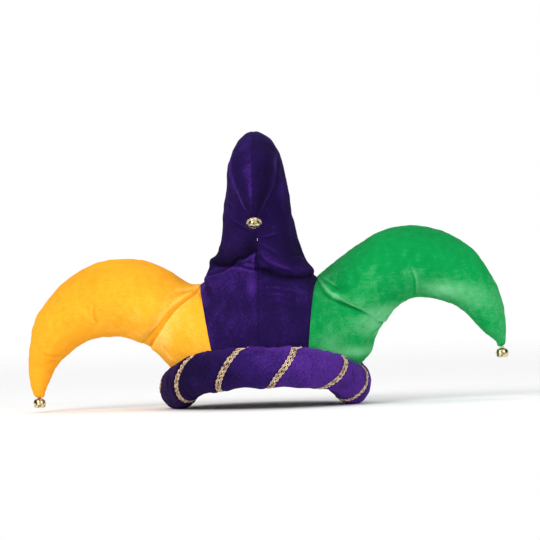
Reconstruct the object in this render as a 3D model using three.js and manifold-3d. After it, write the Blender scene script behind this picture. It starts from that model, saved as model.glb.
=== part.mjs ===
// A velvet jester hat: a crown of four panels, three stuffed horns that end in brass jingle bells,
// and a stuffed roll brim wound with gold braid. Millimetres, +Z up, front towards -Y.
// The origin is the centre of the head opening, on the surface that the hat stands on.
import * as THREE from 'three';
import { mergeVertices } from 'three/addons/utils/BufferGeometryUtils.js';
import Module from 'manifold-3d';

const wasm = await Module();
wasm.setup();

// The head opening, inside the roll.
const headWidth = 173;
const headLength = 200;

// The stuffed roll. Its front and back arch up from the two sides that it stands on.
const rollThickness = 40;
const rollHeight = 49;
const rollArch = 26.5;
const rollSettle = 2;
const rollLean = 2;

// The crown's cloth, and the dome that it follows: its inset from the roll's middle, its height above the
// base, how boxy it is (2 is an ellipse), and how deep its edge is sewn into the roll.
const clothWall = 2.5;
const crownInset = 4;
const crownRise = 119;
const crownBase = 45;
const crownBoxiness = 3;
const crownFoot = 8;

// The two seams that run front to back over the crown, leaning out as they rise: how far from the middle
// each would meet the floor, and how much it leans.
const greenSeam = { foot: 52, flare: 0.09 };
const yellowSeam = { foot: 45, flare: 0.19 };
const seamGap = 0.3;

// The horns: how far each goes out and up, half how thick its stuffing is, and how sharp its sewn edges
// are (1 is an ellipse).
const yellowReach = 184.5;
const yellowRise = 135;
const greenReach = 183.5;
const greenRise = 163;
const hornPlump = 54;
const purpleLength = 128;
const purpleRise = 166;
const purplePlump = 58;
const hornEdge = 1.15;

// The braid, laid on the pile of the roll's plush.
const braidWidth = 7;
const braidThickness = 1.4;
const braidRest = 0.5;
const braidFreeTurns = 6;
const braidSeatGap = 16;

// The jingle bells: two stamped shells that meet in a flange, with a wire loop on top. The slots' depth
// is a share of half the height, and the shoulder is full below 1.
const bellRadius = 7.6;
const bellHeight = 13;
const bellFlange = 9.2;
const bellFlangeThick = 1.1;
const bellWall = 0.7;
const bellSlot = 1.8;
const bellSlotDepth = 0.8;
const bellShoulder = 0.7;
const bellSides = 12;
const bellLevels = 4;
const loopWire = 0.5;
const loopRadius = 1.3;
const pelletRadius = 2.4;

const clearance = 0.3;

// How finely the soft forms are faceted.
const seamSteps = 8;
const frontSteps = 6;
const sideSteps = 8;
const crossSteps = 8;
const ringsPerRow = 1.8;
const domeSides = 36;
const domeLevels = 8;
const rollSteps = 55;
const rollSides = 18;

const degrees = THREE.MathUtils.degToRad;
const mix = THREE.MathUtils.lerp;
const point = (x, y, z) => new THREE.Vector3(x, y, z);

const rollHalfWidth = (headWidth + rollThickness) / 2;
const rollHalfLength = (headLength + rollThickness) / 2;
const crownHalfWidth = rollHalfWidth - crownInset;
const crownHalfLength = rollHalfLength - crownInset;

// A closed skin through rings of equal count, closed on a point at each end.
function skin(first, rings, last) {
  const around = rings[0].length;
  const points = [first, ...rings.flat(), last];
  const index = [];
  const at = (ring, step) => 1 + ring * around + (step % around);
  for (let step = 0; step < around; step += 1) {
    index.push(0, at(0, step + 1), at(0, step));
    for (let ring = 0; ring < rings.length - 1; ring += 1) {
      const [a, b] = [at(ring, step), at(ring, step + 1)];
      const [c, d] = [at(ring + 1, step), at(ring + 1, step + 1)];
      index.push(a, b, c, b, d, c);
    }
    index.push(points.length - 1, at(rings.length - 1, step), at(rings.length - 1, step + 1));
  }
  return new THREE.BufferGeometry().setFromPoints(points).setIndex(index);
}

// A geometry as a solid to join and cut, turned the right way out.
function solidOf(geometry) {
  const bare = new THREE.BufferGeometry();
  bare.setAttribute('position', geometry.getAttribute('position'));
  bare.setIndex(geometry.index);
  const merged = mergeVertices(bare, 1e-3);
  const triVerts = new Uint32Array(merged.index.array);
  const vertProperties = merged.attributes.position.array;
  const made = new wasm.Manifold(new wasm.Mesh({ numProp: 3, vertProperties, triVerts }));
  if (made.volume() > 0) return made;
  for (let corner = 0; corner < triVerts.length; corner += 3) {
    [triVerts[corner + 1], triVerts[corner + 2]] = [triVerts[corner + 2], triVerts[corner + 1]];
  }
  return new wasm.Manifold(new wasm.Mesh({ numProp: 3, vertProperties, triVerts }));
}

// A joined or cut solid as a geometry again.
function geometryOf(solid) {
  const mesh = solid.getMesh();
  const points = [];
  for (let vertex = 0; vertex < mesh.numVert; vertex += 1) {
    points.push(point(...mesh.vertProperties.slice(vertex * mesh.numProp, vertex * mesh.numProp + 3)));
  }
  const geometry = new THREE.BufferGeometry().setFromPoints(points);
  return geometry.setIndex(Array.from(mesh.triVerts));
}

// The roll's centre line: how high it runs at an angle round the head, 0 at the front.
function rollCentreHeight(angle) {
  const sideways = Math.sin(angle) ** 2;
  const drop = 0.45 * sideways + 0.55 * sideways ** 3;
  return rollHeight / 2 - rollSettle + rollArch * (1 - drop);
}

// A point on the roll: angle round the head, turn round the section (0 outermost, 90 degrees on top), and
// how far off the skin it lies. Nothing goes below floor.
function rollPoint(angle, turn, off = 0, floor = 0) {
  const outward = point(rollHalfLength * Math.sin(angle), -rollHalfWidth * Math.cos(angle), 0).normalize();
  const across = (rollThickness / 2 + off) * Math.cos(turn) + rollLean * Math.sin(turn);
  const upward = (rollHeight / 2 + off) * Math.sin(turn);
  const centre = point(rollHalfWidth * Math.sin(angle), -rollHalfLength * Math.cos(angle), 0);
  const height = Math.max(floor, rollCentreHeight(angle) + upward);
  return centre.addScaledVector(outward, across).setZ(height);
}

// The whole roll, or one off its skin by a clearance, as a ring of sections.
function rollSolid(off = 0) {
  const points = [];
  const index = [];
  const at = (step, side) => (step % rollSteps) * rollSides + (side % rollSides);
  for (let step = 0; step < rollSteps; step += 1) {
    for (let side = 0; side < rollSides; side += 1) {
      const angle = (2 * Math.PI * step) / rollSteps;
      points.push(rollPoint(angle, (2 * Math.PI * (side + 0.5)) / rollSides, off));
      const [a, b] = [at(step, side), at(step, side + 1)];
      const [c, d] = [at(step + 1, side), at(step + 1, side + 1)];
      index.push(a, c, b, b, c, d);
    }
  }
  return solidOf(new THREE.BufferGeometry().setFromPoints(points).setIndex(index));
}

// Where the braid crosses the outermost line of the roll, in degrees: five crossings in front laid by eye,
// then even ones round the back.
const braidFront = [-52, -19, 14, 50, 77];
const braidPitch = (braidFront[0] + 360 - braidFront.at(-1)) / (braidFreeTurns + 1);
const braidAngles = [...braidFront];
for (let turn = 1; turn <= braidFreeTurns; turn += 1) {
  braidAngles.push(braidFront.at(-1) + braidPitch * turn);
}

// The angle round the head of a braid that crosses at a given angle, as it turns round the section. It
// slants across the front and the inside, and runs straighter over the top and underneath.
const braidAngle = (crossing, turn) => (
  degrees(crossing) + (degrees(braidPitch) * (turn + Math.sin(2 * turn) / 4)) / (2 * Math.PI)
);

// One turn of braid round the roll: it starts outside the crown's edge, goes over the front, under the
// roll and up the inside, and bends where the roll's facets do. It never goes below the floor. extra
// widens it into the groove that it is pressed into underneath.
function braidTurn(crossing, extra = 0) {
  const seat = Math.acos(-(crownInset + clothWall / 2) / (rollThickness / 2));
  const margin = braidSeatGap / rollHeight;
  const facet = (2 * Math.PI) / rollSides;
  const start = (Math.floor((seat - margin) / facet - 0.5) + 0.5) * facet;
  const end = (Math.ceil((seat + margin) / facet - 0.5) + 0.5) * facet - 2 * Math.PI;
  const steps = Math.round((start - end) / facet);
  const halfWidth = (braidWidth / 2 + extra) / rollHalfWidth;
  const [low, high] = [braidRest - extra, braidRest + braidThickness + extra];
  const rings = [];
  for (let step = 0; step <= steps; step += 1) {
    const turn = start - step * facet;
    const angle = braidAngle(crossing, turn);
    rings.push([
      rollPoint(angle - halfWidth, turn, low, braidThickness + extra),
      rollPoint(angle + halfWidth, turn, low, braidThickness + extra),
      rollPoint(angle + halfWidth, turn, high, -extra),
      rollPoint(angle - halfWidth, turn, high, -extra),
    ]);
  }
  const middle = (ring) => ring.reduce((sum, corner) => sum.add(corner), point(0, 0, 0)).divideScalar(4);
  return solidOf(skin(middle(rings[0]), rings, middle(rings.at(-1))));
}

// Whether a braid would lie below the floor where it passes under the roll, so that it needs a groove.
const braidIsLow = (crossing) => {
  const under = -Math.PI / 2;
  const depth = braidRest + braidThickness;
  return [-braidWidth, 0, braidWidth].some((aside) => (
    rollPoint(braidAngle(crossing, under) + aside / rollHalfWidth, under, depth, -rollHeight).z < clearance
  ));
};

// The crown's dome: 1 on its surface, less inside. Straight below its base, boxy above.
function domeValue(p, shrink = 0) {
  const plan = Math.hypot(p.x / (crownHalfWidth - shrink), p.y / (crownHalfLength - shrink));
  const up = Math.max(0, p.z - crownBase) / (crownRise - shrink);
  return plan ** crownBoxiness + up ** crownBoxiness;
}

// Where a ray from a point inside the dome, along a direction that may depend on the distance, meets it.
function domeHit(along) {
  let [near, far] = [0, 2 * (crownHalfLength + crownRise)];
  for (let halving = 0; halving < 40; halving += 1) {
    const middle = (near + far) / 2;
    if (domeValue(along(middle)) < 1) near = middle;
    else far = middle;
  }
  return along(near);
}

// A point brought out onto the dome if it lies inside.
function onOrOutsideDome(p) {
  const value = domeValue(p);
  if (value >= 1) return p;
  const grow = value ** (-1 / crownBoxiness);
  const height = p.z > crownBase ? crownBase + (p.z - crownBase) * grow : p.z;
  return point(p.x * grow, p.y * grow, height);
}

const seamAt = (seam, z) => seam.foot + seam.flare * z;
const footHeight = (angle) => rollCentreHeight(angle) + rollHeight / 2 - crownFoot;
const footPoint = (angle) => point(
  crownHalfWidth * Math.sin(angle),
  -crownHalfLength * Math.cos(angle),
  footHeight(angle),
);

// The angle round the head at which a seam meets the roll in front, and as far from the back behind.
const seamAngle = (seam) => Math.asin(seamAt(seam, footHeight(0)) / crownHalfWidth);

// A seam, drawn on the right-hand side, from the front foot over the top to the back foot.
function seamCurve(seam) {
  const footLength = crownHalfLength * Math.cos(seamAngle(seam));
  const start = Math.atan2(footHeight(seamAngle(seam)) - crownBase, footLength);
  const points = [];
  for (let step = 0; step <= 2 * seamSteps; step += 1) {
    const angle = mix(start, Math.PI - start, step / (2 * seamSteps));
    points.push(domeHit((distance) => {
      const z = crownBase + distance * Math.sin(angle);
      return point(seamAt(seam, z), -distance * Math.cos(angle), z);
    }));
  }
  return points;
}

// The seam across the top, in the plane y = 0, from the one seam's top to the other's.
function crossCurve(right, left) {
  const from = Math.atan2(right.x, right.z - crownBase);
  const to = Math.atan2(left.x, left.z - crownBase);
  const points = [];
  for (let step = 0; step <= crossSteps; step += 1) {
    const angle = mix(from, to, step / crossSteps);
    points.push(domeHit((distance) => point(
      distance * Math.sin(angle),
      0,
      crownBase + distance * Math.cos(angle),
    )));
  }
  return points;
}

// The stretch of the crown's foot between two angles round the head, ends left out.
function footCurve(from, to, steps) {
  const points = [];
  for (let step = 1; step < steps; step += 1) {
    points.push(footPoint(mix(from, to, step / steps)));
  }
  return points;
}

const mirrored = (p) => point(-p.x, p.y, p.z);
const greenCurve = seamCurve(greenSeam);
const yellowCurve = seamCurve(yellowSeam);

// A fold's pull on a point: a dent along a line in the view from the front, deepest in the middle.
function foldedIn(p, centre, folds) {
  let pull = 0;
  for (const fold of folds) {
    const line = new THREE.Line3(fold.from, fold.to);
    const seen = point(p.x, 0, p.z);
    const distance = line.closestPointToPoint(seen, true, point(0, 0, 0)).distanceTo(seen);
    pull += fold.deep * Math.exp(-((distance / fold.wide) ** 2));
  }
  const inward = centre.clone().sub(p);
  return p.clone().addScaledVector(inward.normalize(), pull);
}

// A horn's skin: each rim point runs through its own point of every section to the tip. It is dented by
// the folds, and lies on the crown where it would sink into it. Behind the rim it closes towards a point
// in the crown's room, which is cut away later.
function hornSkin(rim, sections, tip, heart, folds) {
  const paths = rim.map((start, step) => (
    new THREE.CatmullRomCurve3([start, ...sections.map((ring) => ring[step])], false, 'centripetal')
  ));
  const count = Math.round(sections.length * ringsPerRow);
  const closing = (2 * clothWall) / crownHalfWidth;
  const rings = [rim.map((start) => start.clone().lerp(heart, closing)), rim];
  for (let step = 1; step <= count; step += 1) {
    const ring = paths.map((path) => path.getPoint(step / count));
    const centre = ring.reduce((sum, p) => sum.add(p), point(0, 0, 0)).divideScalar(ring.length);
    rings.push(ring.map((p) => onOrOutsideDome(foldedIn(p, centre, folds))));
  }
  return solidOf(skin(heart, rings, tip));
}

// A section of a horn: half its depth runs from the middle to the outer edge, half its thickness across.
// The edges are a little sharper than an ellipse, as two panels sewn together are.
function hornSection(inner, outer, across, angles) {
  const centre = inner.clone().add(outer).multiplyScalar(0.5);
  const half = outer.clone().sub(inner).multiplyScalar(0.5);
  return angles.map((angle) => {
    const side = Math.sign(Math.sin(angle)) * Math.abs(Math.sin(angle)) ** hornEdge;
    return centre.clone().addScaledVector(half, Math.cos(angle)).addScaledVector(across, side);
  });
}

// Side horns, drawn for the right-hand side. Each row is a section: where its outer and inner edges lie,
// out from the crown's side as shares of the reach and up from the roll's top as shares of the rise, and
// its half thickness as a share of the plumpness.
const yellowSections = [
  { outerOut: -0.057, outerUp: 0.778, innerOut: 0.192, innerUp: 0.185, plump: 0.93 },
  { outerOut: 0.057, outerUp: 0.867, innerOut: 0.268, innerUp: 0.237, plump: 0.97 },
  { outerOut: 0.23, outerUp: 0.963, innerOut: 0.36, innerUp: 0.289, plump: 0.87 },
  { outerOut: 0.42, outerUp: 0.978, innerOut: 0.452, innerUp: 0.304, plump: 0.78 },
  { outerOut: 0.595, outerUp: 0.915, innerOut: 0.562, innerUp: 0.281, plump: 0.71 },
  { outerOut: 0.775, outerUp: 0.763, innerOut: 0.687, innerUp: 0.193, plump: 0.63 },
  { outerOut: 0.905, outerUp: 0.533, innerOut: 0.78, innerUp: 0.089, plump: 0.53 },
  { outerOut: 0.965, outerUp: 0.311, innerOut: 0.84, innerUp: -0.044, plump: 0.40 },
  { outerOut: 0.986, outerUp: 0.059, innerOut: 0.878, innerUp: -0.148, plump: 0.25 },
  { outerOut: 0.96, outerUp: -0.17, innerOut: 0.885, innerUp: -0.185, plump: 0.11 },
];
const greenSections = [
  { outerOut: -0.15, outerUp: 0.70, innerOut: 0.135, innerUp: 0.055, plump: 0.90 },
  { outerOut: -0.04, outerUp: 0.79, innerOut: 0.18, innerUp: 0.21, plump: 0.96 },
  { outerOut: 0.08, outerUp: 0.885, innerOut: 0.235, innerUp: 0.285, plump: 0.98 },
  { outerOut: 0.23, outerUp: 0.965, innerOut: 0.32, innerUp: 0.385, plump: 0.88 },
  { outerOut: 0.39, outerUp: 0.995, innerOut: 0.42, innerUp: 0.455, plump: 0.79 },
  { outerOut: 0.57, outerUp: 0.98, innerOut: 0.52, innerUp: 0.465, plump: 0.72 },
  { outerOut: 0.755, outerUp: 0.88, innerOut: 0.64, innerUp: 0.435, plump: 0.63 },
  { outerOut: 0.91, outerUp: 0.69, innerOut: 0.755, innerUp: 0.35, plump: 0.52 },
  { outerOut: 1.0, outerUp: 0.45, innerOut: 0.865, innerUp: 0.225, plump: 0.38 },
  { outerOut: 1.018, outerUp: 0.245, innerOut: 0.935, innerUp: 0.15, plump: 0.22 },
  { outerOut: 1.0, outerUp: 0.135, innerOut: 0.95, innerUp: 0.125, plump: 0.10 },
];

// The creases where the stuffed horns bend away from the crown, as the sections' edges are given. Depth
// and width are shares of the plumpness.
const yellowFolds = [
  { fromOut: -0.10, fromUp: 0.67, toOut: 0.21, toUp: 0.18, deep: 0.10, wide: 0.16 },
  { fromOut: 0.0, fromUp: 0.62, toOut: 0.26, toUp: 0.25, deep: 0.06, wide: 0.13 },
  { fromOut: 0.535, fromUp: 0.59, toOut: 0.54, toUp: 0.39, deep: 0.06, wide: 0.20 },
];
const greenFolds = [
  { fromOut: -0.16, fromUp: 0.58, toOut: 0.07, toUp: 0.37, deep: 0.13, wide: 0.15 },
  { fromOut: 0.07, fromUp: 0.37, toOut: 0.19, toUp: 0.27, deep: 0.11, wide: 0.15 },
  { fromOut: 0.41, fromUp: 0.66, toOut: 0.43, toUp: 0.48, deep: 0.06, wide: 0.20 },
];

const rollTop = rollHeight - rollSettle;

function sideHorn(seam, curve, table, foldTable, reach, rise) {
  const edge = (out, up) => point(crownHalfWidth + out * reach, 0, rollTop + up * rise);
  const rim = [
    ...curve.slice(0, seamSteps + 1).reverse(),
    ...footCurve(seamAngle(seam), Math.PI - seamAngle(seam), sideSteps),
    ...curve.slice(seamSteps + 1).reverse(),
  ];
  const angles = rim.map((_, step) => (2 * Math.PI * step) / rim.length);
  const sections = table.map((row) => hornSection(
    edge(row.innerOut, row.innerUp),
    edge(row.outerOut, row.outerUp),
    point(0, -row.plump * hornPlump, 0),
    angles,
  ));
  const folds = foldTable.map((row) => ({
    from: edge(row.fromOut, row.fromUp),
    to: edge(row.toOut, row.toUp),
    deep: row.deep * hornPlump,
    wide: row.wide * hornPlump,
  }));
  const last = table.at(-1);
  const tip = edge((last.outerOut + last.innerOut) / 2, last.innerUp - 0.02);
  return { solid: hornSkin(rim, sections, tip, point(crownHalfWidth / 2, 0, crownBase), folds), tip };
}

// The middle horn. Each row is a section: where its front and back edges lie, forward from the crown's
// middle as shares of the length and up from the crown's base as shares of the rise. Past the top the
// horn folds forward, so that front turns into inner and back into outer.
const purpleSections = [
  { front: 0.875, frontUp: 0.30, back: 0.01, backUp: 0.76, plump: 1.06 },
  { front: 0.80, frontUp: 0.54, back: 0.01, backUp: 0.84, plump: 1.02 },
  { front: 0.66, frontUp: 0.70, back: 0.012, backUp: 0.92, plump: 0.92 },
  { front: 0.71, frontUp: 0.81, back: 0.02, backUp: 1.00, plump: 0.83 },
  { front: 0.73, frontUp: 0.97, back: 0.04, backUp: 1.15, plump: 0.73 },
  { front: 0.73, frontUp: 1.12, back: 0.11, backUp: 1.33, plump: 0.67 },
  { front: 0.75, frontUp: 1.24, back: 0.24, backUp: 1.53, plump: 0.61 },
  { front: 0.785, frontUp: 1.30, back: 0.44, backUp: 1.69, plump: 0.54 },
  { front: 0.82, frontUp: 1.305, back: 0.68, backUp: 1.73, plump: 0.49 },
  { front: 0.85, frontUp: 1.285, back: 0.92, backUp: 1.65, plump: 0.48 },
  { front: 0.87, frontUp: 1.25, back: 1.05, backUp: 1.50, plump: 0.45 },
  { front: 0.885, frontUp: 1.20, back: 1.08, backUp: 1.34, plump: 0.33 },
  { front: 0.92, frontUp: 1.15, back: 1.06, backUp: 1.20, plump: 0.18 },
  { front: 0.96, frontUp: 1.125, back: 1.02, backUp: 1.125, plump: 0.08 },
];

// The folds across the front where the horn is sewn to the crown's panel and sags over it, as shares of
// the middle horn's length sideways and of its rise. Depth and width are shares of its plumpness.
const purpleFolds = [
  { fromAside: -0.40, fromUp: 0.76, toAside: 0, toUp: 0.82, deep: 0.10, wide: 0.13 },
  { fromAside: 0, fromUp: 0.80, toAside: 0.42, toUp: 0.68, deep: 0.10, wide: 0.13 },
];

const purpleRim = [
  point(0, -crownHalfLength, footHeight(0)),
  ...footCurve(0, seamAngle(greenSeam), frontSteps / 2),
  ...greenCurve.slice(0, seamSteps),
  ...crossCurve(greenCurve[seamSteps], mirrored(yellowCurve[seamSteps])),
  ...yellowCurve.slice(0, seamSteps).reverse().map(mirrored),
  ...footCurve(-seamAngle(yellowSeam), 0, frontSteps / 2),
];

// The angle on a section that each rim point runs to, measured from the front.
function purpleAngles() {
  const corner = degrees(40);
  const shoulder = degrees(112);
  const half = [];
  for (let step = 0; step < frontSteps / 2; step += 1) {
    half.push(mix(0, corner, (2 * step) / frontSteps));
  }
  for (let step = 0; step < seamSteps; step += 1) {
    half.push(mix(corner, shoulder, step / seamSteps));
  }
  for (let step = 0; step < crossSteps / 2; step += 1) {
    half.push(mix(shoulder, Math.PI, (2 * step) / crossSteps));
  }
  return [...half, Math.PI, ...half.slice(1).reverse().map((angle) => -angle)];
}

function purpleHorn() {
  const edge = (forward, up) => point(0, -forward * purpleLength, crownBase + up * purpleRise);
  const sections = purpleSections.map((row) => hornSection(
    edge(row.back, row.backUp),
    edge(row.front, row.frontUp),
    point(row.plump * purplePlump, 0, 0),
    purpleAngles(),
  ));
  const seen = (aside, up) => point(aside * purpleLength, 0, crownBase + up * purpleRise);
  const folds = purpleFolds.map((row) => ({
    from: seen(row.fromAside, row.fromUp),
    to: seen(row.toAside, row.toUp),
    deep: row.deep * purplePlump,
    wide: row.wide * purplePlump,
  }));
  const last = purpleSections.at(-1);
  const tip = edge((last.front + last.back) / 2, last.frontUp - 0.015);
  return { solid: hornSkin(purpleRim, sections, tip, point(0, -crownHalfLength / 3, crownBase), folds), tip };
}

// The crown's dome as a solid, shrunk by a wall's thickness or not, straight down to a foot.
function domeSolid(shrink, foot) {
  const ringAt = (z, share) => Array.from({ length: domeSides }, (_, step) => {
    const angle = (2 * Math.PI * step) / domeSides;
    return point(
      share * (crownHalfWidth - shrink) * Math.sin(angle),
      -share * (crownHalfLength - shrink) * Math.cos(angle),
      z,
    );
  });
  const rings = [ringAt(foot, 1)];
  for (let level = 0; level < domeLevels; level += 1) {
    const up = Math.sin((Math.PI / 2) * (level / domeLevels)) ** (2 / crownBoxiness);
    const share = (1 - up ** crownBoxiness) ** (1 / crownBoxiness);
    rings.push(ringAt(crownBase + up * (crownRise - shrink), share));
  }
  return solidOf(skin(point(0, 0, foot), rings, point(0, 0, crownBase + crownRise - shrink)));
}

// What lies outside or inside a seam's plane, on the right (1) or the left (-1), less half the gap.
const outsideSeam = (solid, seam, side) => solid.trimByPlane(
  [side / Math.hypot(1, seam.flare), 0, -seam.flare / Math.hypot(1, seam.flare)],
  seam.foot / Math.hypot(1, seam.flare) + seamGap / 2,
);
const insideSeam = (solid, seam, side) => solid.trimByPlane(
  [-side / Math.hypot(1, seam.flare), 0, seam.flare / Math.hypot(1, seam.flare)],
  -seam.foot / Math.hypot(1, seam.flare) + seamGap / 2,
);
const betweenSeams = (solid) => insideSeam(insideSeam(solid, greenSeam, 1), yellowSeam, -1);
const inFront = (solid) => solid.trimByPlane([0, -1, 0], seamGap / 2);
const behind = (solid) => solid.trimByPlane([0, 1, 0], seamGap / 2);

// The hat's cloth stands on the roll with a clearance, and never reaches into the room for the head.
const rollClear = rollSolid(clearance);
const hollow = domeSolid(clothWall, -rollHeight);
const seated = (solid) => solid.subtract(hollow).subtract(rollClear);

const mirrorX = new THREE.Matrix4().makeScale(-1, 1, 1);
const mirrorSolid = (solid) => solidOf(geometryOf(solid).applyMatrix4(mirrorX));

const green = sideHorn(greenSeam, greenCurve, greenSections, greenFolds, greenReach, greenRise);
const yellow = sideHorn(yellowSeam, yellowCurve, yellowSections, yellowFolds, yellowReach, yellowRise);
const purple = purpleHorn();

const greenSolid = seated(outsideSeam(green.solid, greenSeam, 1));
const yellowSolid = seated(outsideSeam(mirrorSolid(yellow.solid), yellowSeam, -1));
const purpleSolid = seated(inFront(betweenSeams(purple.solid)));
const backSolid = seated(behind(betweenSeams(domeSolid(0, crownBase - crownFoot))));
const rollWithGrooves = braidAngles.filter(braidIsLow).reduce(
  (left, crossing) => left.subtract(braidTurn(crossing, clearance)),
  rollSolid(),
);

// A profile of a bell's shell, from its bottom pole to its top, full at the shoulders.
function bellProfile(radius, height) {
  const points = [new THREE.Vector2(0, -height)];
  for (let step = 1; step < bellLevels; step += 1) {
    const angle = mix(-Math.PI / 2, Math.PI / 2, step / bellLevels);
    points.push(new THREE.Vector2(radius * Math.cos(angle) ** bellShoulder, height * Math.sin(angle)));
  }
  return [...points, new THREE.Vector2(0, height)];
}

// A jingle bell about its own middle, loop up: a turned shell with a flange, a cross of slots below.
function bellSolid() {
  const half = bellHeight / 2;
  const shell = solidOf(new THREE.LatheGeometry(bellProfile(bellRadius, half), bellSides));
  const roomProfile = bellProfile(bellRadius - bellWall, half - bellWall);
  const room = solidOf(new THREE.LatheGeometry(roomProfile, bellSides));
  const flange = solidOf(new THREE.CylinderGeometry(bellFlange, bellFlange, bellFlangeThick, bellSides));
  const slot = new THREE.BoxGeometry(2 * bellFlange, half, bellSlot).translate(0, -half * bellSlotDepth, 0);
  const across = solidOf(slot);
  const along = solidOf(slot.clone().rotateY(Math.PI / 2));
  const ring = new THREE.TorusGeometry(loopRadius, loopWire, 5, 8);
  const loop = solidOf(ring.translate(0, half + loopRadius - loopWire, 0));
  return shell.add(flange).subtract(room).subtract(across).subtract(along).add(loop.subtract(room));
}

const velvet = (name, colour) => new THREE.MeshStandardMaterial({ name, color: colour, roughness: 0.85 });
const purpleVelvet = velvet('purple_velvet', '#3a1674');
const rollVelvet = velvet('roll_velvet', '#4a1f8c');
const yellowVelvet = velvet('yellow_velvet', '#fdb62e');
const greenVelvet = velvet('green_velvet', '#1fae54');
const goldBraid = new THREE.MeshStandardMaterial({ name: 'gold_braid', color: '#c9a66b', roughness: 0.5 });
goldBraid.metalness = 0.4;
const brass = new THREE.MeshStandardMaterial({ name: 'brass', color: '#b8a05a', roughness: 0.25 });
brass.metalness = 1;

const hat = new THREE.Group();

function addPiece(name, solid, material) {
  const mesh = new THREE.Mesh(geometryOf(solid), material);
  mesh.name = name;
  hat.add(mesh);
  return mesh;
}

addPiece('horn_purple', purpleSolid, purpleVelvet);
addPiece('horn_yellow', yellowSolid, yellowVelvet);
addPiece('horn_green', greenSolid, greenVelvet);
addPiece('back_panel', backSolid, purpleVelvet);
addPiece('brim_roll', rollWithGrooves, rollVelvet);
braidAngles.forEach((crossing, turn) => {
  addPiece(`braid_${String(turn + 1).padStart(2, '0')}`, braidTurn(crossing), goldBraid);
});

// A bell sewn to a horn's tip, with its pellet lying at the bottom. lean swings its bottom forward.
function hangBell(name, tip, lean) {
  const hanger = new THREE.Group();
  const standing = new THREE.Matrix4().makeRotationX(Math.PI / 2 - lean);
  const drop = bellHeight / 2 + 2 * loopRadius;
  const centre = point(0, -drop * Math.sin(lean), -drop * Math.cos(lean) - clearance).add(tip);
  const bell = new THREE.Mesh(geometryOf(bellSolid()).applyMatrix4(standing), brass);
  bell.name = `bell_${name}`;
  const pelletDrop = bellHeight / 2 - bellWall - pelletRadius - clearance;
  const pellet = new THREE.Mesh(new THREE.SphereGeometry(pelletRadius, 8, 5), brass);
  pellet.name = `pellet_${name}`;
  pellet.position.set(0, -pelletDrop * Math.sin(lean), -pelletDrop * Math.cos(lean));
  hanger.position.copy(centre);
  hanger.add(bell, pellet);
  hat.add(hanger);
}

hangBell('purple', purple.tip, degrees(35));
hangBell('yellow', mirrored(yellow.tip), 0);
hangBell('green', green.tip, 0);

export default hat;
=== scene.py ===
"""A velvet jester hat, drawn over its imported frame: +Z up, front towards -Y, on the surface at Z 0.

Shapes are worked out in millimetres, as in the part's source, and written to the meshes in metres.
"""

import bpy
import numpy as np
from mathutils import Matrix, Vector


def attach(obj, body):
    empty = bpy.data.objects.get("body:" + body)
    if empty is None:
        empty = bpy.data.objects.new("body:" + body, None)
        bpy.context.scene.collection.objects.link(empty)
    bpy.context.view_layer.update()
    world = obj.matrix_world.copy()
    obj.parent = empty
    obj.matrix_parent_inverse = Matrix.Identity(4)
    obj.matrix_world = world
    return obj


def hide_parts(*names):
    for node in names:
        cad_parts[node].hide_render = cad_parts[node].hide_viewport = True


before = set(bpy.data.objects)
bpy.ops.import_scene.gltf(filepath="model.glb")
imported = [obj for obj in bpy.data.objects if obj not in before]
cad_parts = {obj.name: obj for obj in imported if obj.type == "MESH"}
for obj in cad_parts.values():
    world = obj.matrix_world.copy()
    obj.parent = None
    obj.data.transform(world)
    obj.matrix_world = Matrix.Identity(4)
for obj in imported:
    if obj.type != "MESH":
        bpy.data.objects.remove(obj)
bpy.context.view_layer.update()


# The brim: a tube of violet velvet stuffed with fibre and sewn round the crown's edge. It arches up in
# front and behind and stands on its two sides. The braid presses into it, and it puckers at the seam.
roll_half_width, roll_half_length = 106.5, 120.0
roll_half_thick, roll_half_tall = 20.0, 24.5
roll_settle, roll_arch, roll_lean = 2.0, 28.0, 2.0
roll_rings, roll_columns = 760, 112
braid_pitch = np.radians(33)
braid_crossings = np.radians([-52, -19, 14, 50, 77] + [77 + 33 * turn for turn in range(1, 7)])
crown_seat = np.radians(105)
# Millimetres for each radian: round the head, round it where the roll bends, and round its section.
head_arc, bend_arc, tube_arc = 112.0, 110.0, 22.0


def roll_centre_height(angle):
    """Height of the roll's centre line: lowest at the sides, arched in front (angle 0) and behind."""
    sideways = np.sin(angle) ** 2
    return roll_half_tall - roll_settle + roll_arch * (1 - 0.45 * sideways - 0.55 * sideways**3)


def roll_point(angle, turn, off=0.0, floor=0.0):
    """An oval section, off its skin by off, carried round an oval that is seen from above."""
    out_x, out_y = roll_half_length * np.sin(angle), -roll_half_width * np.cos(angle)
    across = (roll_half_thick + off) * np.cos(turn) + roll_lean * np.sin(turn)
    across = across / np.hypot(out_x, out_y)
    height = roll_centre_height(angle) + (roll_half_tall + off) * np.sin(turn)
    x = roll_half_width * np.sin(angle) + out_x * across
    y = -roll_half_length * np.cos(angle) + out_y * across
    return np.stack(np.broadcast_arrays(x, y, np.maximum(height, floor)), -1)


def braid_angle(crossing, turn):
    """The braid's angle round the head: it gains one pitch a turn, and slants most over the front."""
    return crossing + braid_pitch * (turn + np.sin(2 * turn) / 4) / (2 * np.pi)


def unevenness(points, wave, seed):
    """Gentle lumps, mostly within -1 and 1: a sum of 24 sine waves in directions of their own."""
    chance = np.random.default_rng(seed)
    ways = chance.normal(size=(24, 3))
    lengths = wave * chance.uniform(0.7, 1.4, 24)
    ways *= (2 * np.pi / (lengths * np.linalg.norm(ways, axis=1)))[:, None]
    phases = chance.uniform(0, 2 * np.pi, 24)
    return sum(np.sin(points @ way + phase) for way, phase in zip(ways, phases)) / 6


def hump(distance, wide):
    """A smooth bell curve: 1 where distance is 0, fading out over wide."""
    return np.exp(-((distance / wide) ** 2))


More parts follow.
